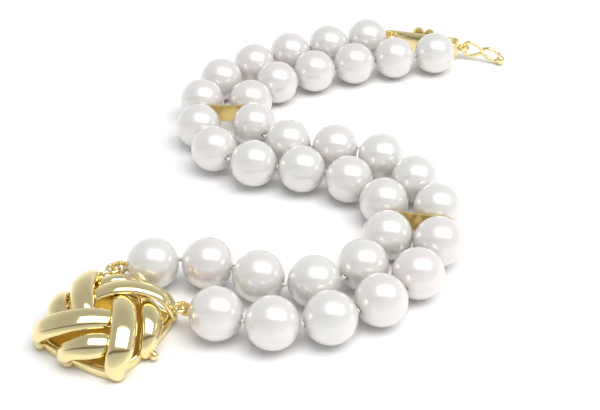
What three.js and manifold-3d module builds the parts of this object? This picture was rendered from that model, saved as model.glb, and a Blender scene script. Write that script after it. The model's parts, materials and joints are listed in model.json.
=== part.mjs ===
// A two-row pearl bracelet, unfastened and lying in an S on a flat surface.
// Millimetres, +Z up. The woven gold clasp is at the near left end, the tongue and its
// figure-eight safety catch are at the far right end.
import * as THREE from "three";
import { mergeVertices } from "three/addons/utils/BufferGeometryUtils.js";
import Module from "manifold-3d";

const wasm = await Module();
wasm.setup();

// ---------------------------------------------------------------- driving dimensions
const PEARL = { diameter: 8.5, bore: 1.1, sides: 10, arcs: 6 };
const PEARLS_PER_ROW = 18;
const KNOT_ROOM = 0.38; // between neighbouring pearls, filled by a silk knot
const SPACER_ROOM = 0.85; // between the two pearls on either side of a spacer bar
const SETTLING_SWEEPS = 10;
const SPACER_AFTER = [6, 12]; // a spacer bar follows these pearls of each row
const SPACER = { thickness: 0.4, height: 3.4, hole: 1.3, overhang: 1.7 };
const THREAD = { radius: 0.24, sides: 6, inset: 0.1 };
const FRENCH_WIRE = { radius: 0.36, sides: 6, steps: 14, rise: 1.15, spread: 0.85, pearlGap: 0.35 };
const EYE = { ring: 0.97, wire: 0.32, height: 4.0, stem: 1.9 };

const CLASP = {
  centre: { x: -31.8, y: -42.7 },
  turn: 14, // degrees from +X to the diagonal that points at the right corner
  corner: 10.6, // centre to corner of the base
  bulge: 6.5, // how far out the sides' curve handles lie, each way
  floor: 0.8,
  rimHeight: 1.7,
  rimWall: 1.1,
  barCrown: 1.1,
  barBelow: 0.35,
  domeBelow: 5, // bars lean away from a point this far under the base
};
const STUD = { along: 6.4, side: -6.9, height: 1.0, radius: 0.8, neck: 1.6 };

const PLATE = {
  centre: { x: 24.8, y: 46.45 },
  turn: -14.9, // degrees from +X to the plate's long direction
  length: 15.8,
  thickness: 1.0,
  height: 4.4,
  round: 0.8,
};
const TONGUE = {
  offset: 0.4, // along the plate, from its middle to the tongue's
  width: 5.4,
  reach: 6.0,
  sheet: 0.45,
  lowest: 2.0,
  highest: 3.9,
};
const TAB = { offset: -1.6, width: 2.6, thickness: 0.8, back: 1.2, top: 5.5 };
const CATCH = { wire: 0.4, ball: 0.95, height: 2.5, heading: -21, sides: 6, steps: 38 };
const CATCH_EYE = { beyond: 0.95, ring: 1.05, wire: 0.34 };

// Routes of the two rows through the pearl centres: x, y, and how far a pearl is lifted
// off the surface where the rows bunch together in the bends.
const ROUTE_COLUMNS = ["x", "y", "lift"];
const OUTER_ROUTE = [
  [-25.7, -30.8, 0],
  [-16.9, -30.7, 0],
  [-8.8, -33.9, 0],
  [0, -35.3, 0],
  [8.5, -30.8, 0],
  [12.6, -23.3, 0],
  [12.5, -14.1, 0],
  [6.9, -7.5, 0],
  [-1.3, -4.6, 0.2],
  [-10, -3, 0.3],
  [-17.6, 1.6, 0.3],
  [-21.3, 10.2, 0],
  [-21.4, 19, 0],
  [-18.1, 27.5, 0],
  [-11.8, 33.5, 0],
  [-4, 38.7, 0],
  [13.2, 45.2, 0],
];
const INNER_ROUTE = [
  [-14.8, -42.7, 0],
  [-6, -44.8, 0],
  [2.7, -43.6, 0],
  [10.7, -39.5, 0],
  [17.2, -32.8, 0.1],
  [21, -24.9, 0.2],
  [21.6, -15.7, 0.2],
  [18.4, -7.8, 0.3],
  [12.7, -0.8, 0.4],
  [4.1, 2.3, 0.4],
  [-4.4, 4, 0.4],
  [-10.9, 10.2, 0.3],
  [-11.8, 18.9, 0],
  [-6.8, 26.3, 0],
  [3.2, 32, 0],
  [15.5, 36, 0],
  [26.9, 38.7, 0],
];

// Centre lines of the two bars that rise from each side of the clasp, in the clasp's own
// axes for the left side; the other three sides are this pair turned by quarter turns.
const BAR_COLUMNS = ["along", "side", "height"];
const CORNER_BAR = [
  [-9.5, 0.2, 0.6],
  [-9.9, 0, 2.6],
  [-8.8, -1.2, 4.7],
  [-6, -2.2, 6.1],
  [-3, -2.7, 6.6],
  [-0.4, -2.8, 6.1],
  [1.8, -2.6, 5.1],
];
const SIDE_BAR = [
  [-6, -5, 0.6],
  [-6.4, -5.1, 2.2],
  [-5.2, -5.9, 3.7],
  [-3.1, -6.7, 4.5],
  [-0.9, -6.8, 4.3],
  [1.4, -6.4, 3.4],
];
const BAR_STEPS = 12;
const SIDE_BAR_HALF_WIDTH = 1.45;
const CORNER_BAR_HALF_WIDTH = 1.6;

// Soldered eyes: where they sit around the clasp and along the plate.
// A clasp eye has a stem that runs back to the nearest corner bar.
const CLASP_EYES = [
  { angle: 77, reach: 10.9, stemHeading: 208 },
  { angle: -6, reach: 11.4, stemHeading: 143 },
];
const PLATE_EYES = [
  { along: -6.9, front: 1.3 },
  { along: 6.3, front: 1.3 },
];

// One lap of the catch's wire, from the ball over the top, round the hinge end and back.
const CATCH_COLUMNS = ["along", "height"];
const CATCH_ROUTE = [
  [8.3, 1.15],
  [7.9, 2.3],
  [6.9, 3.1],
  [5.5, 3.3],
  [4.1, 2.95],
  [2.9, 3.6],
  [1.5, 4.05],
  [0.4, 3.55],
  [0, 2.5],
  [0.4, 1.45],
  [1.5, 0.9],
  [2.9, 1.3],
  [4.1, 1.95],
  [5.5, 1.15],
  [7, 0.75],
  [8.3, 1.15],
];

// ---------------------------------------------------------------- finishes
const finish = (color, roughness, metalness) =>
  new THREE.MeshStandardMaterial({ color, roughness, metalness });
const goldFinish = () => finish(0xd9b65a, 0.18, 1);
const pearlFinish = () => finish(0xf1ece8, 0.2, 0);
const silkFinish = () => finish(0xece6d8, 0.8, 0);

// ---------------------------------------------------------------- small helpers
const UP = new THREE.Vector3(0, 0, 1);
const named = (columns, rows) =>
  rows.map((row) => Object.fromEntries(columns.map((column, i) => [column, row[i]])));
const heading = (degrees) => {
  const angle = THREE.MathUtils.degToRad(degrees);
  return new THREE.Vector3(Math.cos(angle), Math.sin(angle), 0);
};
const placed = (geometry, x, y, z, turnDegrees = 0) =>
  geometry.clone().rotateZ(THREE.MathUtils.degToRad(turnDegrees)).translate(x, y, z);

// Turns a closed geometry into a solid that can be joined and cut.
function solid(geometry) {
  const bare = geometry.clone();
  bare.deleteAttribute("normal");
  bare.deleteAttribute("uv");
  const merged = mergeVertices(bare, 1e-5);
  const mesh = new wasm.Mesh({
    numProp: 3,
    vertProperties: new Float32Array(merged.attributes.position.array),
    triVerts: new Uint32Array(merged.index.array),
  });
  return new wasm.Manifold(mesh);
}

function geometryOf(manifold) {
  const mesh = manifold.getMesh();
  const geometry = new THREE.BufferGeometry();
  geometry.setAttribute("position", new THREE.BufferAttribute(mesh.vertProperties, 3));
  geometry.setIndex(new THREE.BufferAttribute(mesh.triVerts, 1));
  geometry.computeVertexNormals();
  return geometry;
}

const joined = (geometries) =>
  geometryOf(geometries.map(solid).reduce((sum, piece) => sum.add(piece)));

// A path through fixed stations, whose sections keep a chosen side direction.
class Stations extends THREE.Curve {
  constructor(points, outward) {
    super();
    this.points = points;
    this.outward = outward;
  }
  getPoint(t, target = new THREE.Vector3()) {
    const place = t * (this.points.length - 1);
    const i = Math.min(Math.floor(place), this.points.length - 2);
    return target.lerpVectors(this.points[i], this.points[i + 1], place - i);
  }
  getSpacedPoints() {
    return this.points;
  }
  computeFrenetFrames() {
    const last = this.points.length - 1;
    const tangents = this.points.map((_, i) =>
      new THREE.Vector3()
        .subVectors(this.points[Math.min(i + 1, last)], this.points[Math.max(i - 1, 0)])
        .normalize(),
    );
    const normals = tangents.map((tangent, i) =>
      new THREE.Vector3().crossVectors(this.outward(this.points[i]), tangent).normalize(),
    );
    const binormals = tangents.map((tangent, i) =>
      new THREE.Vector3().crossVectors(tangent, normals[i]),
    );
    return { tangents, normals, binormals };
  }
}

const swept = (section, points, outward = () => UP) =>
  new THREE.ExtrudeGeometry(section, {
    extrudePath: new Stations(points, outward),
    steps: points.length - 1,
    curveSegments: 1,
    bevelEnabled: false,
  });

function roundSection(radius, sides) {
  const points = Array.from({ length: sides }, (_, i) => {
    const angle = (2 * Math.PI * i) / sides;
    return new THREE.Vector2(radius * Math.cos(angle), radius * Math.sin(angle));
  });
  return new THREE.Shape(points);
}

const smooth = (points, steps) =>
  new THREE.CatmullRomCurve3(points, false, "centripetal").getSpacedPoints(steps);

// ---------------------------------------------------------------- rows of pearls
const RADIUS = PEARL.diameter / 2;

// Walks along a route and sets a pearl down each time the string allows the next one.
function strung(route) {
  const curve = new THREE.CatmullRomCurve3(
    named(ROUTE_COLUMNS, route).map(({ x, y, lift }) => new THREE.Vector3(x, y, RADIUS + lift)),
    false,
    "centripetal",
  );
  curve.arcLengthDivisions = 2000;
  const length = curve.getLength();
  const centres = [curve.getPointAt(0)];
  let walked = 0;
  while (centres.length < PEARLS_PER_ROW) {
    const room = SPACER_AFTER.includes(centres.length) ? SPACER_ROOM : KNOT_ROOM;
    const pitch = PEARL.diameter + room;
    const here = centres[centres.length - 1];
    let near = walked;
    let far = Math.min(length, walked + 1.3 * pitch);
    while (far - near > 1e-6) {
      const middle = (near + far) / 2;
      if (curve.getPointAt(middle / length).distanceTo(here) < pitch) near = middle;
      else far = middle;
    }
    walked = near;
    centres.push(curve.getPointAt(walked / length));
  }
  return centres;
}

const mirroredAbout = (axis, direction) =>
  axis.clone().multiplyScalar(2 * axis.dot(direction)).sub(direction);

// The direction of each pearl's bore. It starts along the chord between the two neighbours,
// then settles until the bores on the two sides of every gap point at each other.
function boreDirections(centres, start, end) {
  const chain = [start, ...centres, end];
  const chords = chain
    .slice(1)
    .map((point, i) => new THREE.Vector3().subVectors(point, chain[i]).normalize());
  let bores = centres.map((_, i) => chords[i].clone().add(chords[i + 1]).normalize());
  for (let sweep = 0; sweep < SETTLING_SWEEPS; sweep += 1) {
    bores = bores.map((bore, i) => {
      const settled = bore.clone();
      if (i > 0) settled.add(mirroredAbout(chords[i], bores[i - 1]));
      if (i < bores.length - 1) settled.add(mirroredAbout(chords[i + 1], bores[i + 1]));
      return settled.normalize();
    });
  }
  return bores;
}

// A drilled pearl about +Y: half a circle and the wall of its bore, turned once round.
function pearlGeometry() {
  const bore = PEARL.bore / 2;
  const mouth = Math.acos(bore / RADIUS);
  const profile = Array.from({ length: PEARL.arcs + 1 }, (_, i) => {
    const angle = mouth * ((2 * i) / PEARL.arcs - 1);
    return new THREE.Vector2(RADIUS * Math.cos(angle), RADIUS * Math.sin(angle));
  });
  profile.push(profile[0].clone());
  return new THREE.LatheGeometry(profile, PEARL.sides);
}

function pearlMeshes(rowName, centres, directions) {
  const shape = pearlGeometry();
  return centres.map((centre, i) => {
    const mesh = new THREE.Mesh(shape, pearlFinish());
    mesh.name = `pearl_${rowName}_${String(i + 1).padStart(2, "0")}`;
    mesh.position.copy(centre);
    mesh.quaternion.setFromUnitVectors(new THREE.Vector3(0, 1, 0), directions[i]);
    return mesh;
  });
}

// The silk runs straight through each bore and bends only in the room between pearls.
function threadPoints({ centres, directions }) {
  const half = RADIUS - THREAD.inset;
  return centres.flatMap((centre, i) => [
    centre.clone().addScaledVector(directions[i], -half),
    centre.clone().addScaledVector(directions[i], half),
  ]);
}

function threadMesh(rowName, points) {
  const mesh = new THREE.Mesh(swept(roundSection(THREAD.radius, THREAD.sides), points), silkFinish());
  mesh.name = `silk_thread_${rowName}`;
  return mesh;
}

// ---------------------------------------------------------------- spacer bars
function spacerGeometry([outerHole, innerHole]) {
  const end = SPACER.height / 2;
  const low = outerHole - SPACER.overhang + end;
  const high = innerHole + SPACER.overhang - end;
  const shape = new THREE.Shape()
    .moveTo(low, -end)
    .lineTo(high, -end)
    .absarc(high, 0, end, -Math.PI / 2, Math.PI / 2)
    .lineTo(low, end)
    .absarc(low, 0, end, Math.PI / 2, (3 * Math.PI) / 2);
  for (const hole of [outerHole, innerHole]) {
    shape.holes.push(new THREE.Path().absarc(hole, 0, SPACER.hole / 2, 0, 2 * Math.PI, true));
  }
  const options = { depth: SPACER.thickness, bevelEnabled: false, curveSegments: 5 };
  return new THREE.ExtrudeGeometry(shape, options).translate(0, 0, -SPACER.thickness / 2);
}

// Stands a bar in both rows, between pearl number `after` and the next one, with its holes
// where the silk crosses it.
function spacerMesh(index, after, rows) {
  const gaps = rows.map(({ centres }) => centres[after - 1].clone().lerp(centres[after], 0.5));
  const crossings = rows.map(({ silk }) => silk[2 * after - 1].clone().lerp(silk[2 * after], 0.5));
  const origin = gaps[0].clone().lerp(gaps[1], 0.5);
  const xAxis = new THREE.Vector3().subVectors(gaps[1], gaps[0]).normalize();
  const zAxis = new THREE.Vector3().crossVectors(xAxis, UP).normalize();
  const yAxis = new THREE.Vector3().crossVectors(zAxis, xAxis);
  const holes = crossings.map((crossing) => crossing.clone().sub(origin).dot(xAxis));
  const mesh = new THREE.Mesh(spacerGeometry(holes), goldFinish());
  mesh.name = `spacer_bar_${index + 1}`;
  mesh.position.copy(origin);
  mesh.quaternion.setFromRotationMatrix(new THREE.Matrix4().makeBasis(xAxis, yAxis, zAxis));
  return mesh;
}

// ---------------------------------------------------------------- woven clasp
function cushionShape(corner, bulge) {
  return new THREE.Shape()
    .moveTo(corner, 0)
    .quadraticCurveTo(bulge, bulge, 0, corner)
    .quadraticCurveTo(-bulge, bulge, -corner, 0)
    .quadraticCurveTo(-bulge, -bulge, 0, -corner)
    .quadraticCurveTo(bulge, -bulge, corner, 0);
}

const cushion = (inset, depth) =>
  new THREE.ExtrudeGeometry(cushionShape(CLASP.corner - Math.SQRT2 * inset, CLASP.bulge - inset), {
    depth,
    bevelEnabled: false,
    curveSegments: 5,
  });

function claspBase() {
  const hollow = placed(cushion(CLASP.rimWall, CLASP.rimHeight), 0, 0, CLASP.floor);
  return solid(cushion(0, CLASP.rimHeight)).subtract(solid(hollow));
}

// Half-round section: a flat underside and a low crown, x across the bar, y outwards.
function barSection(barHalfWidth) {
  const { barCrown, barBelow } = CLASP;
  return new THREE.Shape()
    .moveTo(-barHalfWidth, -barBelow)
    .lineTo(barHalfWidth, -barBelow)
    .lineTo(barHalfWidth, 0)
    .lineTo(0.8 * barHalfWidth, 0.6 * barCrown)
    .lineTo(0.35 * barHalfWidth, 0.95 * barCrown)
    .lineTo(-0.35 * barHalfWidth, 0.95 * barCrown)
    .lineTo(-0.8 * barHalfWidth, 0.6 * barCrown)
    .lineTo(-barHalfWidth, 0);
}

function wovenBar(rows, halfWidth) {
  const line = named(BAR_COLUMNS, rows).map(
    ({ along, side, height }) => new THREE.Vector3(along, side, height),
  );
  const outward = (point) => new THREE.Vector3(point.x, point.y, point.z + CLASP.domeBelow);
  return swept(barSection(halfWidth), smooth(line, BAR_STEPS), outward);
}

const eye = (x, y) => placed(new THREE.TorusGeometry(EYE.ring, EYE.wire, 6, 12), x, y, EYE.height);

function eyeStem(stemHeading) {
  return new THREE.CylinderGeometry(EYE.wire, EYE.wire, EYE.stem, 6)
    .translate(0, EYE.ring + EYE.stem / 2, 0)
    .rotateZ(THREE.MathUtils.degToRad(stemHeading - 90));
}

function studSolid() {
  const { along, side, height, radius, neck } = STUD;
  const tilt = Math.PI / 4;
  const post = new THREE.CylinderGeometry(0.5 * radius, 0.5 * radius, neck, 8)
    .translate(0, -neck / 2, 0)
    .rotateZ(-3 * tilt)
    .translate(along, side, height);
  const knob = placed(new THREE.SphereGeometry(radius, 10, 6), along, side, height);
  return solid(post).add(solid(knob));
}

const claspEyeCentres = () =>
  CLASP_EYES.map(({ angle, reach }) =>
    heading(CLASP.turn + angle)
      .multiplyScalar(reach)
      .add(new THREE.Vector3(CLASP.centre.x, CLASP.centre.y, EYE.height)),
  );

function claspMesh() {
  const bars = [
    wovenBar(CORNER_BAR, CORNER_BAR_HALF_WIDTH),
    wovenBar(SIDE_BAR, SIDE_BAR_HALF_WIDTH),
  ];
  let body = claspBase();
  for (const quarter of [0, 1, 2, 3]) {
    for (const bar of bars) body = body.add(solid(placed(bar, 0, 0, 0, 90 * quarter)));
  }
  for (const { angle, reach, stemHeading } of CLASP_EYES) {
    const place = heading(angle).multiplyScalar(reach);
    const stem = placed(eyeStem(stemHeading), place.x, place.y, EYE.height);
    body = body.add(solid(eye(place.x, place.y))).add(solid(stem));
  }
  body = body.add(studSolid());
  const mesh = new THREE.Mesh(geometryOf(body), goldFinish());
  mesh.name = "woven_clasp";
  mesh.position.set(CLASP.centre.x, CLASP.centre.y, 0);
  mesh.rotation.z = THREE.MathUtils.degToRad(CLASP.turn);
  return mesh;
}

// ---------------------------------------------------------------- tongue and plate
// Own axes: x along the plate, y away from the pearls.
function plateGeometry() {
  const { length, thickness, height, round } = PLATE;
  const half = length / 2;
  const outline = new THREE.Shape()
    .moveTo(-half, 0)
    .lineTo(half, 0)
    .lineTo(half, height - round)
    .quadraticCurveTo(half, height, half - round, height)
    .lineTo(-half + round, height)
    .quadraticCurveTo(-half, height, -half, height - round);
  return new THREE.ExtrudeGeometry(outline, {
    depth: thickness,
    bevelEnabled: false,
    curveSegments: 3,
  })
    .rotateX(Math.PI / 2)
    .translate(0, thickness / 2, 0);
}

// A strip folded back on itself: out from the plate, round its nose and back on top.
function tongueGeometry() {
  const { width, reach, sheet, lowest, highest, offset } = TONGUE;
  const gapBehind = PLATE.thickness / 2 + 0.5;
  const profile = new THREE.Shape()
    .moveTo(0, lowest)
    .lineTo(reach - 0.6, lowest + 0.3)
    .quadraticCurveTo(reach, lowest + 0.4, reach, lowest + 0.75)
    .quadraticCurveTo(reach, lowest + 1.1, reach - 0.6, lowest + 1.2)
    .lineTo(gapBehind, highest)
    .lineTo(gapBehind, highest - sheet)
    .lineTo(reach - 1.2, lowest + 0.8)
    .lineTo(reach - 1.2, lowest + 0.7)
    .lineTo(0, lowest + sheet);
  return new THREE.ExtrudeGeometry(profile, { depth: width, bevelEnabled: false, curveSegments: 3 })
    .rotateX(Math.PI / 2)
    .rotateZ(Math.PI / 2)
    .translate(offset - width / 2, 0, 0);
}

function tabGeometry() {
  const bottom = TONGUE.highest - TONGUE.sheet - 0.1;
  return new THREE.BoxGeometry(TAB.width, TAB.thickness, TAB.top - bottom).translate(
    TAB.offset,
    TAB.back + TAB.thickness / 2,
    (TAB.top + bottom) / 2,
  );
}

const onPlate = (along, back, height) =>
  new THREE.Vector3(along, back, height)
    .applyAxisAngle(UP, THREE.MathUtils.degToRad(PLATE.turn))
    .add(new THREE.Vector3(PLATE.centre.x, PLATE.centre.y, 0));
const plateEyeCentres = () => PLATE_EYES.map(({ along, front }) => onPlate(along, -front, EYE.height));
const catchAxis = () => onPlate(PLATE.length / 2 + CATCH_EYE.beyond, 0, CATCH.height);

function tongueMesh() {
  const catchEye = new THREE.TorusGeometry(CATCH_EYE.ring, CATCH_EYE.wire, 6, 12);
  const geometry = joined([
    plateGeometry(),
    tongueGeometry(),
    tabGeometry(),
    ...PLATE_EYES.map(({ along, front }) => eye(along, -front)),
    placed(catchEye, PLATE.length / 2 + CATCH_EYE.beyond, 0, CATCH.height),
  ]);
  const mesh = new THREE.Mesh(geometry, goldFinish());
  mesh.name = "tongue";
  mesh.position.set(PLATE.centre.x, PLATE.centre.y, 0);
  mesh.rotation.z = THREE.MathUtils.degToRad(PLATE.turn);
  return mesh;
}

// ---------------------------------------------------------------- safety catch
// A pinched figure of eight, bent from one wire whose ends meet in a ball.
function catchMesh() {
  const route = named(CATCH_COLUMNS, CATCH_ROUTE);
  const line = route.map(({ along, height }) => new THREE.Vector3(along, 0, height));
  const points = smooth(line, CATCH.steps);
  const ball = new THREE.SphereGeometry(CATCH.ball, 12, 8);
  const geometry = joined([
    swept(roundSection(CATCH.wire, CATCH.sides), points, () => new THREE.Vector3(0, 1, 0)),
    placed(ball, route[0].along, 0, route[0].height),
  ]);
  const mesh = new THREE.Mesh(geometry, goldFinish());
  mesh.name = "safety_catch";
  const axis = catchAxis();
  mesh.position.set(axis.x, axis.y, 0);
  mesh.rotation.z = THREE.MathUtils.degToRad(CATCH.heading);
  return mesh;
}

// ---------------------------------------------------------------- French wire
// A loop of fine coiled wire that passes through an eye and comes back to the pearl.
function frenchWireMesh(name, eyeCentre, pearlCentre) {
  const towards = new THREE.Vector3().subVectors(pearlCentre, eyeCentre).setZ(0);
  const reach = towards.length() - RADIUS - FRENCH_WIRE.pearlGap;
  towards.normalize();
  const { rise, spread, radius, sides, steps } = FRENCH_WIRE;
  const pearlHeight = pearlCentre.z;
  const line = [
    [reach, pearlHeight + spread],
    [0.65, EYE.height + rise],
    [0.12, EYE.height + 0.65 * rise],
    [0, EYE.height],
    [0.12, EYE.height - 0.65 * rise],
    [0.65, EYE.height - rise],
    [reach, pearlHeight - spread],
  ].map(([out, height]) =>
    eyeCentre.clone().setZ(height).addScaledVector(towards, out),
  );
  const sideways = new THREE.Vector3().crossVectors(UP, towards);
  const geometry = swept(roundSection(radius, sides), smooth(line, steps), () => sideways);
  const mesh = new THREE.Mesh(geometry, goldFinish());
  mesh.name = name;
  return mesh;
}

// ---------------------------------------------------------------- assembly
const bracelet = new THREE.Group();
const claspEyes = claspEyeCentres();
const plateEyes = plateEyeCentres();
const rows = [
  { name: "outer", centres: strung(OUTER_ROUTE) },
  { name: "inner", centres: strung(INNER_ROUTE) },
];
rows.forEach((row, i) => {
  row.directions = boreDirections(row.centres, claspEyes[i], plateEyes[i]);
  row.silk = threadPoints(row);
});

rows.forEach(({ name, centres, directions, silk }, i) => {
  bracelet.add(...pearlMeshes(name, centres, directions), threadMesh(name, silk));
  bracelet.add(frenchWireMesh(`french_wire_clasp_${name}`, claspEyes[i], centres[0]));
  bracelet.add(frenchWireMesh(`french_wire_tongue_${name}`, plateEyes[i], centres.at(-1)));
});
SPACER_AFTER.forEach((after, i) => bracelet.add(spacerMesh(i, after, rows)));
bracelet.add(claspMesh(), tongueMesh(), catchMesh());

// The origin goes to the middle of the bounding box, on the surface it lies on.
const bounds = new THREE.Box3().setFromObject(bracelet, true);
const middle = bounds.getCenter(new THREE.Vector3());
bracelet.position.set(-middle.x, -middle.y, -bounds.min.z);

export default bracelet;
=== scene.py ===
"""Looks for a two-row pearl bracelet, lying open in an S on a white table.

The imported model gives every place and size. Here the pearls get their drilled holes and
nacre, the rows their knotted silk, the loops their coiled wire, and the gold its polish.
Lengths in the tables are millimetres in the named part's own axes.
"""

import json
import math
import random

import bmesh
import bpy
from mathutils import Matrix, Vector


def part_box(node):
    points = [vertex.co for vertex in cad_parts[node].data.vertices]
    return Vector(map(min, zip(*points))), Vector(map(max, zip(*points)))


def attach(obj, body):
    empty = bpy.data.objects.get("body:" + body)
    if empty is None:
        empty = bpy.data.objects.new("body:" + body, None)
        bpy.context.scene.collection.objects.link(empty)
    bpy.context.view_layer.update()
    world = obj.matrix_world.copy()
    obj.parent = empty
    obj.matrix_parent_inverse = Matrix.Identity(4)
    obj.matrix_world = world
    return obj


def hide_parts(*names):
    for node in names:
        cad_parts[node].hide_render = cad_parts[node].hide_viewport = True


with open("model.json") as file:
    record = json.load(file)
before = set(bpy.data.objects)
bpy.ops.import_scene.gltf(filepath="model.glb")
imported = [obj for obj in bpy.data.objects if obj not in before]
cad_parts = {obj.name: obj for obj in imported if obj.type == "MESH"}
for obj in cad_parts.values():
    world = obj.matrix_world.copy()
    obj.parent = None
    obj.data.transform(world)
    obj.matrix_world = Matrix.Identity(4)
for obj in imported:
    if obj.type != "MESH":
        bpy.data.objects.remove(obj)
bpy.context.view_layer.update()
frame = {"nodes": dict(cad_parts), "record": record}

MM = 0.001
UP = Vector((0, 0, 1))
ROWS = ("outer", "inner")
PEARLS_PER_ROW = 18
PEARL_RADIUS = 4.25
PEARL_BORE = 0.45
SPACER_AFTER = (6, 12)

# Where the gold work sits.
record = frame["record"]
CLASP_CENTRE = Vector(record["mounts"][0]["pos_m"])
CLASP_TURN = 14
CATCH_HINGE = Vector(record["behaviour"]["joints"][0]["pos_m"])
CATCH_HEADING = -21
PLATE_TURN = -14.9
PLATE_HALF = 7.9
PLATE_TALL = 4.4
PLATE_TO_HINGE = 8.85
EYE_HEIGHT = 4.0
EYE_RING = 0.97
EYE_WIRE = 0.32
CLASP_EYES = ((77, 10.9, 208), (-6, 11.4, 143))  # angle, reach, heading of the stem
PLATE_EYES = ((-6.9, -1.3), (6.3, -1.3))  # along the plate, out in front of it


# ------------------------------------------------------------------ places
def heading(degrees):
    angle = math.radians(degrees)
    return Vector((math.cos(angle), math.sin(angle), 0))


def clasp_axes():
    return Matrix.Translation(CLASP_CENTRE) @ Matrix.Rotation(math.radians(CLASP_TURN), 4, "Z")


def plate_axes():
    ground = Vector((CATCH_HINGE.x, CATCH_HINGE.y, 0))
    centre = ground - heading(PLATE_TURN) * PLATE_TO_HINGE * MM
    return Matrix.Translation(centre) @ Matrix.Rotation(math.radians(PLATE_TURN), 4, "Z")


def catch_axes():
    ground = Vector((CATCH_HINGE.x, CATCH_HINGE.y, 0))
    return Matrix.Translation(ground) @ Matrix.Rotation(math.radians(CATCH_HEADING), 4, "Z")


def clasp_eye_centres():
    reaches = [heading(angle) * reach for angle, reach, _ in CLASP_EYES]
    return [clasp_axes() @ ((place + UP * EYE_HEIGHT) * MM) for place in reaches]


def plate_eye_centres():
    return [plate_axes() @ (Vector((along, front, EYE_HEIGHT)) * MM) for along, front in PLATE_EYES]


def mirrored_about(axis, direction):
    return 2 * axis.dot(direction) * axis - direction


def bore_directions(centres, start, end, sweeps=10):
    """Bores that point at each other across every gap, as a taut string leaves them."""
    chain = [start, *centres, end]
    chords = [(b - a).normalized() for a, b in zip(chain, chain[1:])]
    bores = [(a + b).normalized() for a, b in zip(chords, chords[1:])]
    for _ in range(sweeps):
        settled = [bore.copy() for bore in bores]
        for i in range(len(bores)):
            if i > 0:
                settled[i] += mirrored_about(chords[i], bores[i - 1])
            if i < len(bores) - 1:
                settled[i] += mirrored_about(chords[i + 1], bores[i + 1])
        bores = [bore.normalized() for bore in settled]
    return bores


def strung_rows():
    rows = {}
    for name, start, end in zip(ROWS, clasp_eye_centres(), plate_eye_centres()):
        boxes = [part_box(f"pearl_{name}_{i:02d}") for i in range(1, PEARLS_PER_ROW + 1)]
        centres = [(low + high) / 2 for low, high in boxes]
        rows[name] = {
            "centres": centres,
            "bores": bore_directions(centres, start, end),
            "eyes": (start, end),
        }
    return rows


# ------------------------------------------------------------------ mesh helpers
def piece_from(name, vertices, faces, edges=()):
    mesh = bpy.data.meshes.new(name)
    mesh.from_pydata([tuple(v) for v in vertices], edges, faces)
    mesh.update()
    piece = bpy.data.objects.new(name, mesh)
    bpy.context.scene.collection.objects.link(piece)
    return piece


def closed_up(piece):
    """Merges doubled vertices and turns every face outwards."""
    work = bmesh.new()
    work.from_mesh(piece.data)
    bmesh.ops.remove_doubles(work, verts=work.verts, dist=1e-7)
    bmesh.ops.recalc_face_normals(work, faces=work.faces)
    work.to_mesh(piece.data)
    work.free()
    piece.data.polygons.foreach_set("use_smooth", [True] * len(piece.data.polygons))
    piece.data.update()
    return piece


def lofted(rings, closed=False):
    """Vertices and faces of a skin through rings of equally many points."""
    around = len(rings[0])
    vertices = [point for ring in rings for point in ring]
    spans = len(rings) if closed else len(rings) - 1
    faces = []
    for j in range(spans):
        here, there = j * around, ((j + 1) % len(rings)) * around
        for i in range(around):
            k = (i + 1) % around
            faces.append((here + i, here + k, there + k, there + i))
    if not closed:
        faces.append(tuple(reversed(range(around))))
        faces.append(tuple(range((len(rings) - 1) * around, len(rings) * around)))
    return vertices, faces


def spline(rows, samples):
    """A Catmull-Rom curve through rows of numbers, evenly sampled."""
    rows = [Vector(row) for row in rows]
    ends = [2 * rows[0] - rows[1], *rows, 2 * rows[-1] - rows[-2]]
    fine = []
    for a, b, c, d in zip(ends, ends[1:], ends[2:], ends[3:]):
        for step in range(24):
            t = step / 24
            square = (2 * a - 5 * b + 4 * c - d) * t**2
            cube = (3 * b - a - 3 * c + d) * t**3
            fine.append(0.5 * (2 * b + (c - a) * t + square + cube))
    fine.append(rows[-1])
    reached = [0.0]
    for p, q in zip(fine, fine[1:]):
        reached.append(reached[-1] + (Vector(q[:3]) - Vector(p[:3])).length)
    even, j = [], 0
    for i in range(samples):
        target = reached[-1] * i / (samples - 1)
        while j < len(fine) - 2 and reached[j + 1] < target:
            j += 1
        share = (target - reached[j]) / max(reached[j + 1] - reached[j], 1e-9)
        even.append(fine[j].lerp(fine[j + 1], min(max(share, 0), 1)))
    return even


def tangents(points):
    last = len(points) - 1
    return [(points[min(i + 1, last)] - points[max(i - 1, 0)]).normalized() for i in range(len(points))]


def tube(points, radius, around=12, side=UP, closed=False):
    """A round rod along points, with side telling which way is across it."""
    rings = []
    for point, tangent in zip(points, tangents(points)):
        across = side.cross(tangent).normalized()
        upright = tangent.cross(across)
        rings.append(
            [
                point + across * radius * math.cos(2 * math.pi * i / around)
                + upright * radius * math.sin(2 * math.pi * i / around)
                for i in range(around)
            ]
        )
    return lofted(rings, closed)


def ball(centre, radius, around=24, rings=14):
    points = []
    for j in range(rings + 1):
        tilt = math.pi * (0.02 + 0.96 * j / rings)
        points.append(
            [
                centre
                + radius
                * Vector(
                    (
                        math.sin(tilt) * math.cos(2 * math.pi * i / around),
                        math.sin(tilt) * math.sin(2 * math.pi * i / around),
                        -math.cos(tilt),
                    )
                )
                for i in range(around)
            ]
        )
    return lofted(points)


def ring(centre, radius, wire, around=12, steps=36):
    """A soldered wire ring lying flat."""
    rings = []
    for j in range(steps):
        out = heading(360 * j / steps)
        rings.append(
            [
                centre
                + out * (radius + wire * math.cos(2 * math.pi * i / around))
                + UP * wire * math.sin(2 * math.pi * i / around)
                for i in range(around)
            ]
        )
    return lofted(rings, closed=True)


def together(*shapes):
    vertices, faces = [], []
    for more_vertices, more_faces in shapes:
        offset = len(vertices)
        vertices += more_vertices
        faces += [tuple(offset + i for i in face) for face in more_faces]
    return vertices, faces


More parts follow.
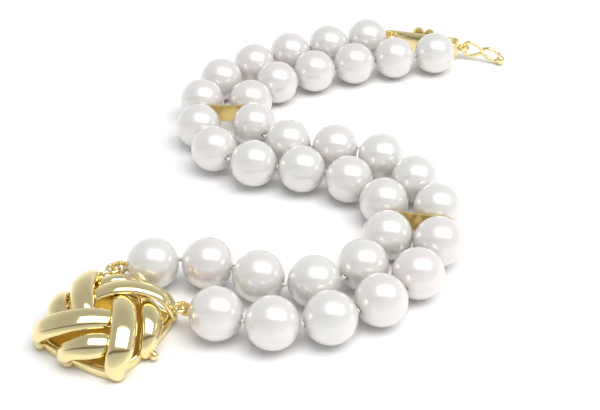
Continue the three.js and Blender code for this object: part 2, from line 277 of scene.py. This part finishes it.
def in_place(shape, axes):
    """Millimetres in a part's own axes to metres in the bracelet's."""
    vertices, faces = shape
    return [axes @ (Vector(v) * MM) for v in vertices], faces


# ------------------------------------------------------------------ node helpers
def add(tree, kind, sockets=None, **settings):
    node = tree.nodes.new(kind)
    for name, value in settings.items():
        setattr(node, name, value)
    for key, value in (sockets or {}).items():
        if isinstance(value, bpy.types.NodeSocket):
            tree.links.new(value, node.inputs[key])
        else:
            node.inputs[key].default_value = value
    return node


def geometry_tree(name, inputs):
    tree = bpy.data.node_groups.new(name, "GeometryNodeTree")
    tree.interface.new_socket("Geometry", in_out="INPUT", socket_type="NodeSocketGeometry")
    for label, kind in inputs.items():
        tree.interface.new_socket(label, in_out="INPUT", socket_type="NodeSocket" + kind)
    tree.interface.new_socket("Geometry", in_out="OUTPUT", socket_type="NodeSocketGeometry")
    return tree, tree.nodes.new("NodeGroupInput").outputs


def finish_tree(tree, geometry, material):
    real = add(tree, "GeometryNodeRealizeInstances", {"Geometry": geometry})
    painted = add(tree, "GeometryNodeSetMaterial", {"Geometry": real.outputs[0], "Material": material})
    add(tree, "NodeGroupOutput", {"Geometry": painted.outputs[0]})
    return tree


def grown(name, source, tree, values):
    """Runs a geometry tree on a source object and keeps the result as a plain mesh."""
    modifier = source.modifiers.new("Growth", "NODES")
    modifier.node_group = tree
    for item in tree.interface.items_tree:
        if item.in_out == "INPUT" and item.name in values:
            modifier[item.identifier] = values[item.name]
    source.update_tag()
    graph = bpy.context.evaluated_depsgraph_get()
    mesh = bpy.data.meshes.new_from_object(
        source.evaluated_get(graph), preserve_all_data_layers=True, depsgraph=graph
    )
    mesh.name = name
    bpy.data.objects.remove(source)
    piece = bpy.data.objects.new(name, mesh)
    bpy.context.scene.collection.objects.link(piece)
    mesh.polygons.foreach_set("use_smooth", [True] * len(mesh.polygons))
    return piece


def set_ramp(ramp, stops):
    elements = ramp.color_ramp.elements
    while len(elements) < len(stops):
        elements.new(0.5)
    for stop, (position, colour) in zip(elements, stops):
        stop.position = position
        stop.color = colour


def material(name):
    made = bpy.data.materials.new(name)
    made.use_nodes = True
    return made, made.node_tree, made.node_tree.nodes["Principled BSDF"]


# ------------------------------------------------------------------ finishes
# Where along the drift of tone, and the colour there: greenish white to warm cream.
NACRE_TONES = (
    (0.15, (0.775, 0.775, 0.735, 1)),
    (0.45, (0.79, 0.77, 0.735, 1)),
    (0.75, (0.80, 0.755, 0.735, 1)),
    (1.0, (0.81, 0.76, 0.70, 1)),
)


def nacre():
    """White nacre with a rose overtone, a deep mirror lustre under a hard clear skin."""
    made, tree, skin = material("nacre")
    place = add(tree, "ShaderNodeTexCoord").outputs["Object"]
    overtone = add(tree, "ShaderNodeAttribute", attribute_name="overtone").outputs["Fac"]
    clouds = add(
        tree, "ShaderNodeTexNoise", {"Vector": place, "Scale": 150, "Detail": 2, "Roughness": 0.4}
    )
    drift = add(
        tree,
        "ShaderNodeMath",
        {0: clouds.outputs["Fac"], 1: 0.5, 2: overtone},
        operation="MULTIPLY_ADD",
    )
    tones = add(tree, "ShaderNodeValToRGB", {"Fac": drift.outputs[0]})
    set_ramp(tones, NACRE_TONES)
    tree.links.new(tones.outputs["Color"], skin.inputs["Base Color"])
    grain = add(tree, "ShaderNodeTexNoise", {"Vector": place, "Scale": 2500, "Detail": 3})
    dents = add(tree, "ShaderNodeTexNoise", {"Vector": place, "Scale": 420, "Detail": 1})
    relief = add(
        tree,
        "ShaderNodeMath",
        {0: grain.outputs["Fac"], 1: 0.15, 2: dents.outputs["Fac"]},
        operation="MULTIPLY_ADD",
    )
    bump = add(
        tree, "ShaderNodeBump", {"Height": relief.outputs[0], "Strength": 0.06, "Distance": 0.00012}
    )
    tree.links.new(bump.outputs["Normal"], skin.inputs["Normal"])
    skin.inputs["Metallic"].default_value = 0.3
    skin.inputs["Roughness"].default_value = 0.28
    skin.inputs["IOR"].default_value = 1.65
    skin.inputs["Specular IOR Level"].default_value = 0.6
    skin.inputs["Coat Weight"].default_value = 0.9
    skin.inputs["Coat Roughness"].default_value = 0.09
    skin.inputs["Coat IOR"].default_value = 1.6
    skin.inputs["Sheen Weight"].default_value = 0.12
    skin.inputs["Sheen Tint"].default_value = (1.0, 0.8, 0.82, 1)
    return made


def gold(name, colour, roughness, scratch=0.05):
    """Polished yellow gold with the fine swirls that a polishing mop leaves."""
    made, tree, skin = material(name)
    place = add(tree, "ShaderNodeTexCoord").outputs["Object"]
    swirls = add(
        tree,
        "ShaderNodeTexNoise",
        {"Vector": place, "Scale": 900, "Detail": 4, "Roughness": 0.6, "Distortion": 1.5},
    )
    alloy = add(tree, "ShaderNodeTexNoise", {"Vector": place, "Scale": 120, "Detail": 2})
    tint = add(
        tree,
        "ShaderNodeMix",
        {
            "Factor": alloy.outputs["Fac"],
            6: tuple(0.97 * c for c in colour) + (1,),
            7: tuple(min(1.03 * c, 1) for c in colour) + (1,),
        },
        data_type="RGBA",
    )
    tree.links.new(tint.outputs[2], skin.inputs["Base Color"])
    polish = add(
        tree,
        "ShaderNodeMapRange",
        {"Value": swirls.outputs["Fac"], "To Min": roughness * 0.7, "To Max": roughness * 1.4},
    )
    tree.links.new(polish.outputs[0], skin.inputs["Roughness"])
    bump = add(
        tree,
        "ShaderNodeBump",
        {"Height": swirls.outputs["Fac"], "Strength": scratch, "Distance": 0.00002},
    )
    tree.links.new(bump.outputs["Normal"], skin.inputs["Normal"])
    skin.inputs["Metallic"].default_value = 1
    return made


def silk():
    """Twisted white silk, darker and yellower in the low grooves of the twist."""
    made, tree, skin = material("silk")
    place = add(tree, "ShaderNodeTexCoord").outputs["Object"]
    twist = add(tree, "ShaderNodeTexNoise", {"Vector": place, "Scale": 4000, "Detail": 3})
    shade = add(
        tree,
        "ShaderNodeMix",
        {"Factor": twist.outputs["Fac"], 6: (0.8, 0.78, 0.7, 1), 7: (0.95, 0.94, 0.9, 1)},
        data_type="RGBA",
    )
    tree.links.new(shade.outputs[2], skin.inputs["Base Color"])
    bump = add(
        tree, "ShaderNodeBump", {"Height": twist.outputs["Fac"], "Strength": 0.5, "Distance": 0.0001}
    )
    tree.links.new(bump.outputs["Normal"], skin.inputs["Normal"])
    skin.inputs["Roughness"].default_value = 0.7
    skin.inputs["Sheen Weight"].default_value = 0.3
    return made


# ------------------------------------------------------------------ pearls
def drilled_pearl(around=48, arcs=26):
    """One pearl about Z, with the rims of its bore slightly broken in by the thread."""
    mouth = math.acos((PEARL_BORE + 0.12) / PEARL_RADIUS)
    profile = []
    for j in range(arcs + 1):
        angle = mouth * (2 * j / arcs - 1)
        profile.append((PEARL_RADIUS * math.cos(angle), PEARL_RADIUS * math.sin(angle)))
    top = profile[-1][1]
    profile += [(PEARL_BORE, top - 0.1), (PEARL_BORE, 0), (PEARL_BORE, 0.1 - top)]
    rings = [
        [heading(360 * i / around) * out + UP * height for i in range(around)] for out, height in profile
    ]
    vertices, faces = lofted(rings, closed=True)
    return closed_up(piece_from("pearl_pattern", [v * MM for v in vertices], faces))


def pearl_tree(skin):
    """Sets a drilled pearl on every point, turned along its bore, no two quite round."""
    tree, given = geometry_tree(
        "strung_pearls",
        {"Pearl": "Object", "Unevenness": "Float", "Lump Size": "Float", "Finish": "Material"},
    )
    pattern = add(tree, "GeometryNodeObjectInfo", {"Object": given["Pearl"]})
    bore = add(tree, "GeometryNodeInputNamedAttribute", {"Name": "bore"}, data_type="FLOAT_VECTOR")
    turn = add(tree, "FunctionNodeAlignRotationToVector", {"Vector": bore.outputs["Attribute"]}, axis="Z")
    points = add(tree, "GeometryNodeMeshToPoints", {"Mesh": given["Geometry"]})
    strung = add(
        tree,
        "GeometryNodeInstanceOnPoints",
        {
            "Points": points.outputs[0],
            "Instance": pattern.outputs["Geometry"],
            "Rotation": turn.outputs[0],
        },
    )
    real = add(tree, "GeometryNodeRealizeInstances", {"Geometry": strung.outputs[0]})
    size = add(tree, "ShaderNodeMath", {0: 1.0, 1: given["Lump Size"]}, operation="DIVIDE")
    lumps = add(tree, "ShaderNodeTexNoise", {"Scale": size.outputs[0], "Detail": 1})
    centred = add(tree, "ShaderNodeMath", {0: lumps.outputs["Fac"], 1: 0.5}, operation="SUBTRACT")
    depth = add(
        tree, "ShaderNodeMath", {0: centred.outputs[0], 1: given["Unevenness"]}, operation="MULTIPLY"
    )
    normal = add(tree, "GeometryNodeInputNormal")
    offset = add(
        tree,
        "ShaderNodeVectorMath",
        {0: normal.outputs[0], "Scale": depth.outputs[0]},
        operation="SCALE",
    )
    moved = add(
        tree, "GeometryNodeSetPosition", {"Geometry": real.outputs[0], "Offset": offset.outputs[0]}
    )
    return finish_tree(tree, moved.outputs[0], given["Finish"])


def make_pearls(rows, skin):
    tree = pearl_tree(skin)
    pattern = drilled_pearl()
    chance = random.Random(18)
    pieces = []
    for name, row in rows.items():
        source = piece_from(f"pearl_places_{name}", row["centres"], [])
        bores = source.data.attributes.new("bore", "FLOAT_VECTOR", "POINT")
        bores.data.foreach_set("vector", [c for bore in row["bores"] for c in bore])
        tones = source.data.attributes.new("overtone", "FLOAT", "POINT")
        tones.data.foreach_set("value", [chance.uniform(0, 0.5) for _ in row["centres"]])
        values = {"Pearl": pattern, "Unevenness": 0.06 * MM, "Lump Size": 7 * MM, "Finish": skin}
        pieces.append(grown(f"pearls_{name}", source, tree, values))
    bpy.data.objects.remove(pattern)
    return pieces


# ------------------------------------------------------------------ silk and knots
def overhand_knot(thread=0.14, wide=0.24, tall=0.12):
    """A pulled-tight knot about Z: a three-lobed loop of thread."""
    points = []
    for i in range(60):
        t = 2 * math.pi * i / 60
        out = wide * (1 + 0.45 * math.cos(3 * t))
        points.append(
            Vector((out * math.cos(2 * t), out * math.sin(2 * t), tall * math.sin(3 * t)))
        )
    vertices, faces = tube(points, thread, around=7, side=Vector((0.2, 0.1, 1)), closed=True)
    return closed_up(piece_from("knot_pattern", [v * MM for v in vertices], faces))


def silk_tree():
    """A thread along the source's edges, with a knot on every point marked for one."""
    tree, given = geometry_tree(
        "knotted_silk", {"Knot": "Object", "Thread Radius": "Float", "Finish": "Material"}
    )
    line = add(tree, "GeometryNodeMeshToCurve", {"Mesh": given["Geometry"]})
    section = add(
        tree, "GeometryNodeCurvePrimitiveCircle", {"Resolution": 8, "Radius": given["Thread Radius"]}
    )
    thread = add(
        tree,
        "GeometryNodeCurveToMesh",
        {"Curve": line.outputs[0], "Profile Curve": section.outputs[0], "Fill Caps": True},
    )
    marked = add(tree, "GeometryNodeInputNamedAttribute", {"Name": "knot"}, data_type="FLOAT")
    along = add(tree, "GeometryNodeInputNamedAttribute", {"Name": "along"}, data_type="FLOAT_VECTOR")
    points = add(
        tree,
        "GeometryNodeMeshToPoints",
        {"Mesh": given["Geometry"], "Selection": marked.outputs["Attribute"]},
    )
    turn = add(tree, "FunctionNodeAlignRotationToVector", {"Vector": along.outputs["Attribute"]}, axis="Z")
    pattern = add(tree, "GeometryNodeObjectInfo", {"Object": given["Knot"]})
    knots = add(
        tree,
        "GeometryNodeInstanceOnPoints",
        {"Points": points.outputs[0], "Instance": pattern.outputs["Geometry"], "Rotation": turn.outputs[0]},
    )
    both = add(tree, "GeometryNodeJoinGeometry", {"Geometry": thread.outputs[0]})
    tree.links.new(knots.outputs[0], both.inputs[0])
    return finish_tree(tree, both.outputs[0], given["Finish"])


def silk_stations(row):
    """Points along one thread: in and out of each pearl, and the knot between two."""
    reach = (PEARL_RADIUS - 0.1) * MM
    stations, knots, ways = [], [], []
    pairs = list(zip(row["centres"], row["bores"]))
    for i, (centre, bore) in enumerate(pairs):
        entry, exit_point = centre - bore * reach, centre + bore * reach
        if i > 0 and i not in SPACER_AFTER:
            stations.append((stations[-1] + entry) / 2)
            knots.append(1.0)
            ways.append((entry - stations[-2]).normalized())
        stations += [entry, exit_point]
        knots += [0.0, 0.0]
        ways += [bore, bore]
    start, end = row["eyes"]
    first, last = row["centres"][0], row["centres"][-1]
    stations = [first + (start - first) * 0.72, *stations, last + (end - last) * 0.72]
    return stations, [1.0, *knots, 1.0], [row["bores"][0], *ways, row["bores"][-1]]


def make_silk(rows, fibre):
    tree = silk_tree()
    pattern = overhand_knot()
    pieces = []
    for name, row in rows.items():
        stations, knots, ways = silk_stations(row)
        edges = [(i, i + 1) for i in range(len(stations) - 1)]
        source = piece_from(f"silk_places_{name}", stations, [], edges)
        marks = source.data.attributes.new("knot", "FLOAT", "POINT")
        marks.data.foreach_set("value", knots)
        along = source.data.attributes.new("along", "FLOAT_VECTOR", "POINT")
        along.data.foreach_set("vector", [c for way in ways for c in way])
        values = {"Knot": pattern, "Thread Radius": 0.2 * MM, "Finish": fibre}
        pieces.append(grown(f"silk_{name}", source, tree, values))
    bpy.data.objects.remove(pattern)
    return pieces


# ------------------------------------------------------------------ coiled wire loops
def coil_tree():
    """Winds a fine wire round the source's line."""
    tree, given = geometry_tree(
        "coiled_wire",
        {"Coil Radius": "Float", "Wire Radius": "Float", "Pitch": "Float", "Finish": "Material"},
    )
    line = add(tree, "GeometryNodeMeshToCurve", {"Mesh": given["Geometry"]})
    step = add(tree, "ShaderNodeMath", {0: given["Pitch"], 1: 12.0}, operation="DIVIDE")
    fine = add(
        tree,
        "GeometryNodeResampleCurve",
        {"Curve": line.outputs[0], "Length": step.outputs[0]},
        mode="LENGTH",
    )
    reached = add(tree, "GeometryNodeSplineParameter")
    turns = add(
        tree, "ShaderNodeMath", {0: reached.outputs["Length"], 1: given["Pitch"]}, operation="DIVIDE"
    )
    angle = add(tree, "ShaderNodeMath", {0: turns.outputs[0], 1: 2 * math.pi}, operation="MULTIPLY")
    normal = add(tree, "GeometryNodeInputNormal")
    tangent = add(tree, "GeometryNodeInputTangent")
    spoke = add(
        tree,
        "ShaderNodeVectorRotate",
        {"Vector": normal.outputs[0], "Axis": tangent.outputs[0], "Angle": angle.outputs[0]},
        rotation_type="AXIS_ANGLE",
    )
    offset = add(
        tree,
        "ShaderNodeVectorMath",
        {0: spoke.outputs[0], "Scale": given["Coil Radius"]},
        operation="SCALE",
    )
    coil = add(
        tree, "GeometryNodeSetPosition", {"Geometry": fine.outputs[0], "Offset": offset.outputs[0]}
    )
    section = add(
        tree, "GeometryNodeCurvePrimitiveCircle", {"Resolution": 6, "Radius": given["Wire Radius"]}
    )
    wire = add(
        tree,
        "GeometryNodeCurveToMesh",
        {"Curve": coil.outputs[0], "Profile Curve": section.outputs[0], "Fill Caps": True},
    )
    return finish_tree(tree, wire.outputs[0], given["Finish"])


# The loop in its own upright plane: out towards the pearl, up from the eye.
LOOP = (
    (1.0, 0.12),
    (0.93, 0.62),
    (0.55, 1.08),
    (0.12, 0.8),
    (0.0, 0.0),
    (0.12, -0.8),
    (0.55, -1.08),
    (0.93, -0.62),
    (1.0, -0.12),
)


def loop_line(eye, pearl):
    towards = Vector((pearl.x - eye.x, pearl.y - eye.y, 0))
    reach = towards.length / MM - PEARL_RADIUS - 0.1
    towards.normalize()
    middle = pearl.z / MM
    points = []
    for share, rise in LOOP:
        out = share * reach if share > 0.2 else share
        height = (EYE_HEIGHT + rise) if share < 0.9 else (middle + rise * 0.9)
        points.append(eye + towards * out * MM + UP * (height - EYE_HEIGHT) * MM)
    return spline(points, 60)


def make_loops(rows, finish):
    tree = coil_tree()
    pieces = []
    for name, row in rows.items():
        ends = (
            ("clasp", row["eyes"][0], row["centres"][0]),
            ("tongue", row["eyes"][1], row["centres"][-1]),
        )
        for end, eye, pearl in ends:
            line = loop_line(eye, pearl)
            edges = [(i, i + 1) for i in range(len(line) - 1)]
            source = piece_from(f"loop_places_{end}_{name}", line, [], edges)
            values = {
                "Coil Radius": 0.26 * MM,
                "Wire Radius": 0.12 * MM,
                "Pitch": 0.26 * MM,
                "Finish": finish,
            }
            pieces.append(grown(f"french_coil_{end}_{name}", source, tree, values))
            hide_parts(f"french_wire_{end}_{name}")
    return pieces


# ------------------------------------------------------------------ woven clasp
CORNER, BULGE = 10.6, 6.5
BAR_CROWN, BAR_BELOW, DOME_BELOW = 1.1, 0.4, 5.0

# Centre lines of one side's two bars: along, side, height, half the width.
CORNER_BAR = (
    (-9.9, -0.6, 0.5, 1.1),
    (-10.1, -0.4, 2.4, 1.7),
    (-8.9, -1.4, 4.5, 1.95),
    (-6.0, -2.4, 5.9, 2.0),
    (-3.0, -2.9, 6.3, 1.95),
    (-0.4, -3.0, 5.9, 1.85),
    (1.8, -2.7, 5.0, 1.6),
)
SIDE_BAR = (
    (-6.2, -5.2, 0.6, 1.2),
    (-6.7, -5.4, 2.2, 1.5),
    (-5.5, -6.2, 3.7, 1.6),
    (-3.1, -6.9, 4.5, 1.95),
    (-0.9, -6.9, 4.3, 1.85),
    (1.4, -6.5, 3.5, 1.6),
)


def bar(rows, samples=40, around=20):
    """One half-round bar whose flat side faces the inside of the dome."""
    stations = spline(rows, samples)
    points = [Vector(s[:3]) for s in stations]
    rings = []
    for point, tangent, station in zip(points, tangents(points), stations):
        out = Vector((point.x, point.y, point.z + DOME_BELOW))
        across = out.cross(tangent).normalized()
        outward = tangent.cross(across)
        half = station[3]
        section = []
        for i in range(around):
            angle = 2 * math.pi * i / around
            rise = BAR_CROWN if math.sin(angle) > 0 else BAR_BELOW
            section.append(point + across * half * math.cos(angle) + outward * rise * math.sin(angle))
        rings.append(section)
    return lofted(rings)


def pinwheel_tree():
    """Four turned copies of one side's pair of bars make the weave."""
    tree, given = geometry_tree(
        "pinwheel_weave", {"Sides": "Int", "Centre": "Vector", "Finish": "Material"}
    )
    line = add(tree, "GeometryNodeMeshLine", {"Count": given["Sides"], "Offset": (0, 0, 0)})
    back = add(tree, "ShaderNodeVectorMath", {0: (0, 0, 0), 1: given["Centre"]}, operation="SUBTRACT")
    centred = add(
        tree, "GeometryNodeTransform", {"Geometry": given["Geometry"], "Translation": back.outputs[0]}
    )
    index = add(tree, "GeometryNodeInputIndex")
    share = add(tree, "ShaderNodeMath", {0: 2 * math.pi, 1: given["Sides"]}, operation="DIVIDE")
    angle = add(tree, "ShaderNodeMath", {0: index.outputs[0], 1: share.outputs[0]}, operation="MULTIPLY")
    turn = add(tree, "ShaderNodeCombineXYZ", {"Z": angle.outputs[0]})
    copies = add(
        tree,
        "GeometryNodeInstanceOnPoints",
        {"Points": line.outputs[0], "Instance": centred.outputs[0], "Rotation": turn.outputs[0]},
    )
    placed = add(
        tree, "GeometryNodeTransform", {"Geometry": copies.outputs[0], "Translation": given["Centre"]}
    )
    return finish_tree(tree, placed.outputs[0], given["Finish"])


def cushion(inset, height, steps=12):
    """The base's outline: four bulging sides between the corners."""
    corner, bulge = CORNER - math.sqrt(2) * inset, BULGE - inset
    points = []
    for quarter in range(4):
        for j in range(steps):
            t = j / steps
            x = (1 - t) ** 2 * corner + 2 * t * (1 - t) * bulge
            y = 2 * t * (1 - t) * bulge + t**2 * corner
            turned = Matrix.Rotation(math.pi / 2 * quarter, 3, "Z") @ Vector((x, y, 0))
            points.append(turned + UP * height)
    return points


def clasp_base():
    """Back plate with a rounded rim, open inside."""
    profile = (
        (0.5, 0.0),
        (0.15, 0.06),
        (0.0, 0.3),
        (0.0, 1.3),
        (0.12, 1.6),
        (0.4, 1.72),
        (0.8, 1.66),
        (1.0, 1.45),
        (1.1, 0.85),
    )
    return lofted([cushion(inset, height) for inset, height in profile])


def clasp_eyes():
    shapes = []
    for angle, reach, stem in CLASP_EYES:
        place = heading(angle) * reach + UP * EYE_HEIGHT
        shapes.append(ring(place, EYE_RING, EYE_WIRE))
        line = [place + heading(stem) * (0.9 + 0.25 * i) for i in range(8)]
        shapes.append(tube(line, EYE_WIRE * 0.95))
    return together(*shapes)


STUD_HEADING = -50
STUD_ROOT, STUD_REACH, STUD_HEIGHT = 8.2, 9.8, 1.0


def snap_stud():
    """The little ball on its neck that the safety catch snaps over."""
    out = heading(STUD_HEADING)
    root = out * STUD_ROOT + UP * STUD_HEIGHT
    neck = [root + out * 0.2 * i for i in range(7)]
    knob = ball(out * STUD_REACH + UP * STUD_HEIGHT, 0.72)
    return together(tube(neck, 0.38), knob, ball(root + out * 0.5, 0.55))


def make_clasp(bright, deep):
    axes = clasp_axes()
    side = piece_from("clasp_side", *in_place(together(bar(CORNER_BAR), bar(SIDE_BAR)), axes))
    closed_up(side)
    values = {"Sides": 4, "Centre": CLASP_CENTRE, "Finish": bright}
    weave = grown("clasp_weave", side, pinwheel_tree(), values)
    base = closed_up(piece_from("clasp_base", *in_place(clasp_base(), axes)))
    base.data.materials.append(bright)
    base.data.materials.append(deep)
    # Faces of the plate's inner floor take the second finish. Its deeper orange is painted reflection,
    # standing in for light bounced between the gold walls.
    for face in base.data.polygons:
        inside = face.center.z > 0.8 * MM and face.normal.z > 0.9 and len(face.vertices) > 4
        face.material_index = 1 if inside else 0
    fittings = closed_up(
        piece_from("clasp_fittings", *in_place(together(clasp_eyes(), snap_stud()), axes))
    )
    fittings.data.materials.append(bright)
    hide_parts("woven_clasp")
    return [weave, base, fittings]


# ------------------------------------------------------------------ tongue
def slab(outline, thickness_from, thickness_to, plane):
    """A closed outline given thickness; plane places an outline point at a depth."""
    return lofted([[plane(p, thickness_from) for p in outline], [plane(p, thickness_to) for p in outline]])


def rounded(outline, radius, steps=4):
    """The outline with its corners rounded."""
    corners = [Vector(p) for p in outline]
    soft = []
    for i, corner in enumerate(corners):
        before, after = corners[i - 1], corners[(i + 1) % len(corners)]
        reach = min(radius, (before - corner).length / 2.2, (after - corner).length / 2.2)
        a = corner + (before - corner).normalized() * reach
        b = corner + (after - corner).normalized() * reach
        for j in range(steps + 1):
            t = j / steps
            soft.append((1 - t) ** 2 * a + 2 * t * (1 - t) * corner + t**2 * b)
    return soft


# Section of the folded sheet: back from the plate, height.
FOLD = (
    (0, 2.0),
    (5.4, 1.7),
    (6.0, 2.05),
    (5.4, 2.5),
    (1.0, 3.9),
    (1.0, 3.45),
    (4.8, 2.15),
    (4.8, 2.1),
    (0, 2.45),
)
# The two round bumps of the thumb tab: middle, radius.
TAB_BUMPS = ((Vector((-1.5, 3.2, 0)), 1.2), (Vector((0.95, 3.05, 0)), 1.2))


def make_tongue(bright):
    axes = plate_axes()
    upright = lambda p, depth: Vector((p[0], depth, p[1]))
    sideways = lambda p, along: Vector((along, p[0], p[1]))
    plate = rounded(
        ((-PLATE_HALF, 0), (PLATE_HALF, 0), (PLATE_HALF, PLATE_TALL), (-PLATE_HALF, PLATE_TALL)), 0.8
    )
    fold = rounded(FOLD, 0.15, 2)
    tabs = [[place + heading(20 * i) * size for i in range(18)] for place, size in TAB_BUMPS]
    shapes = [
        slab(plate, -0.5, 0.5, upright),
        slab(fold, -2.3, 1.9, sideways),
        ring(Vector((PLATE_TO_HINGE, 0, 2.5)), 1.05, 0.34),
    ]
    shapes += [slab(tab, 2.6, 3.4, upright) for tab in tabs]
    shapes += [ring(Vector((along, front, EYE_HEIGHT)), EYE_RING, EYE_WIRE) for along, front in PLATE_EYES]
    piece = closed_up(piece_from("tongue_piece", *in_place(together(*shapes), axes)))
    piece.data.materials.append(bright)
    soften = piece.modifiers.new("Soften", "BEVEL")
    soften.width = 0.12 * MM
    soften.segments = 2
    soften.limit_method = "ANGLE"
    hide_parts("tongue")
    return piece


# ------------------------------------------------------------------ safety catch
# One lap of the wire: along, height.
CATCH_LAP = (
    (8.3, 1.15),
    (7.9, 2.3),
    (6.9, 3.1),
    (5.5, 3.3),
    (4.1, 2.95),
    (2.9, 3.6),
    (1.5, 4.05),
    (0.4, 3.55),
    (0.0, 2.5),
    (0.4, 1.45),
    (1.5, 0.9),
    (2.9, 1.3),
    (4.1, 1.95),
    (5.5, 1.15),
    (7.0, 0.75),
    (8.3, 1.15),
)


def make_catch(bright):
    line = spline([Vector((along, 0, height)) for along, height in CATCH_LAP], 110)
    wire = tube(line, 0.4, around=14, side=Vector((0, 1, 0)))
    knob = ball(Vector((8.3, 0, 1.15)), 0.95)
    piece = closed_up(piece_from("catch_figure_eight", *in_place(together(wire, knob), catch_axes())))
    piece.data.materials.append(bright)
    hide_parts("safety_catch")
    return piece


# ------------------------------------------------------------------ spacer bars
def make_spacers(bright):
    for i in (1, 2):
        node = frame["nodes"][f"spacer_bar_{i}"]
        node.data.materials.clear()
        node.data.materials.append(bright)


# ------------------------------------------------------------------ studio
# The room from the horizon up: height of the direction, colour.
ROOM = (
    (0.0, (0.96, 0.97, 1.0, 1)),
    (0.3, (0.68, 0.7, 0.73, 1)),
    (0.75, (0.5, 0.51, 0.53, 1)),
)
ROOM_STRENGTH = 0.95
# How far the direction leans to the front, and how much of the dim strip is there.
BAND = ((0.33, 0.0), (0.37, 1.0), (0.47, 1.0), (0.58, 0.0))
BAND_COLOUR = (0.2, 0.16, 0.14, 1)
TABLE_HALF = 1.5
TABLE_WHITE = (0.92, 0.92, 0.92, 1)
LAMP_TOWARDS = (0.285, -0.186, 0.939)
LAMP_AWAY = 0.55
LAMP_LONG, LAMP_SHORT = 0.64, 0.36
LAMP_WATTS = 3.1


def dark_band(tree, around, room, backdrop):
    """The dim strip of room between the lamp and the front, which edges the highlights."""
    parts = add(tree, "ShaderNodeSeparateXYZ", {"Vector": around})
    lean = add(
        tree, "ShaderNodeMath", {0: parts.outputs["Y"], 1: parts.outputs["Z"]}, operation="DIVIDE"
    )
    front = add(tree, "ShaderNodeMath", {0: lean.outputs[0], 1: -0.5}, operation="MULTIPLY")
    band = add(tree, "ShaderNodeValToRGB", {"Fac": front.outputs[0]})
    set_ramp(band, [(position, (dim, dim, dim, 1)) for position, dim in BAND])
    dimmed = add(
        tree,
        "ShaderNodeMix",
        {"Factor": band.outputs["Color"], 6: room.outputs["Color"], 7: BAND_COLOUR},
        data_type="RGBA",
    )
    tree.links.new(dimmed.outputs[2], backdrop.inputs["Color"])


def studio():
    scene = bpy.context.scene
    scene.view_settings.view_transform = "Standard"
    world = bpy.data.worlds.new("studio")
    scene.world = world
    world.use_nodes = True
    backdrop = world.node_tree.nodes["Background"]
    around = add(world.node_tree, "ShaderNodeTexCoord").outputs["Generated"]
    level = add(world.node_tree, "ShaderNodeSeparateXYZ", {"Vector": around}).outputs["Z"]
    room = add(world.node_tree, "ShaderNodeValToRGB", {"Fac": level})
    set_ramp(room, ROOM)
    dark_band(world.node_tree, around, room, backdrop)
    backdrop.inputs["Strength"].default_value = ROOM_STRENGTH

    corners = [(-1, -1), (1, -1), (1, 1), (-1, 1)]
    floor = piece_from(
        "table_top", [(x * TABLE_HALF, y * TABLE_HALF, 0) for x, y in corners], [(0, 1, 2, 3)]
    )
    paper, _, skin = material("white_table")
    skin.inputs["Base Color"].default_value = TABLE_WHITE
    skin.inputs["Roughness"].default_value = 0.6
    floor.data.materials.append(paper)

    softbox = bpy.data.lights.new("softbox", "AREA")
    softbox.shape = "RECTANGLE"
    softbox.size = LAMP_LONG
    softbox.size_y = LAMP_SHORT
    softbox.energy = LAMP_WATTS
    softbox.color = (1.0, 0.985, 0.96)
    lamp = bpy.data.objects.new("softbox", softbox)
    scene.collection.objects.link(lamp)
    towards = Vector(LAMP_TOWARDS)
    lamp.location = towards * LAMP_AWAY
    towards.normalize()
    long_side = (Vector((1, 0, 0)) - towards * towards.x).normalized()
    lamp.rotation_mode = "QUATERNION"
    turned = Matrix((long_side, towards.cross(long_side), towards)).transposed()
    lamp.rotation_quaternion = turned.to_quaternion()


def camera():
    data = bpy.data.cameras.new("camera")
    data.sensor_width = 36
    data.lens = 65.96
    data.clip_start = 0.01
    data.clip_end = 20
    eye = bpy.data.objects.new("camera", data)
    bpy.context.scene.collection.objects.link(eye)
    eye.location = Vector((-1.783, -166.727, 117.97)) * MM
    eye.rotation_euler = (math.radians(53.19), 0, 0)
    bpy.context.scene.camera = eye


# ------------------------------------------------------------------ making it
rows = strung_rows()
bright_gold = gold("polished_gold", (0.93, 0.79, 0.42), 0.1)
# The inner gold's deeper orange is painted reflection: light bounced between the clasp's gold walls, put
# into the colour.
painted_reflection_gold = gold("inner_gold_painted_reflection", (1.0, 0.64, 0.1), 0.45, 0.3)
coil_gold = gold("coiled_gold", (0.93, 0.72, 0.28), 0.2)
nacre_skin = nacre()
fibre = silk()

pearls = make_pearls(rows, nacre_skin)
threads = make_silk(rows, fibre)
loops = make_loops(rows, coil_gold)
clasp = make_clasp(bright_gold, painted_reflection_gold)
tongue = make_tongue(bright_gold)
catch = make_catch(bright_gold)
make_spacers(coil_gold)

for name, piece in zip(ROWS, pearls):
    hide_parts(*[f"pearl_{name}_{i:02d}" for i in range(1, PEARLS_PER_ROW + 1)])
for name, piece in zip(ROWS, threads):
    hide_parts(f"silk_thread_{name}")
for piece in [*pearls, *threads, *loops, *clasp, tongue]:
    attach(piece, "bracelet")
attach(catch, "safety_catch")

studio()
camera()
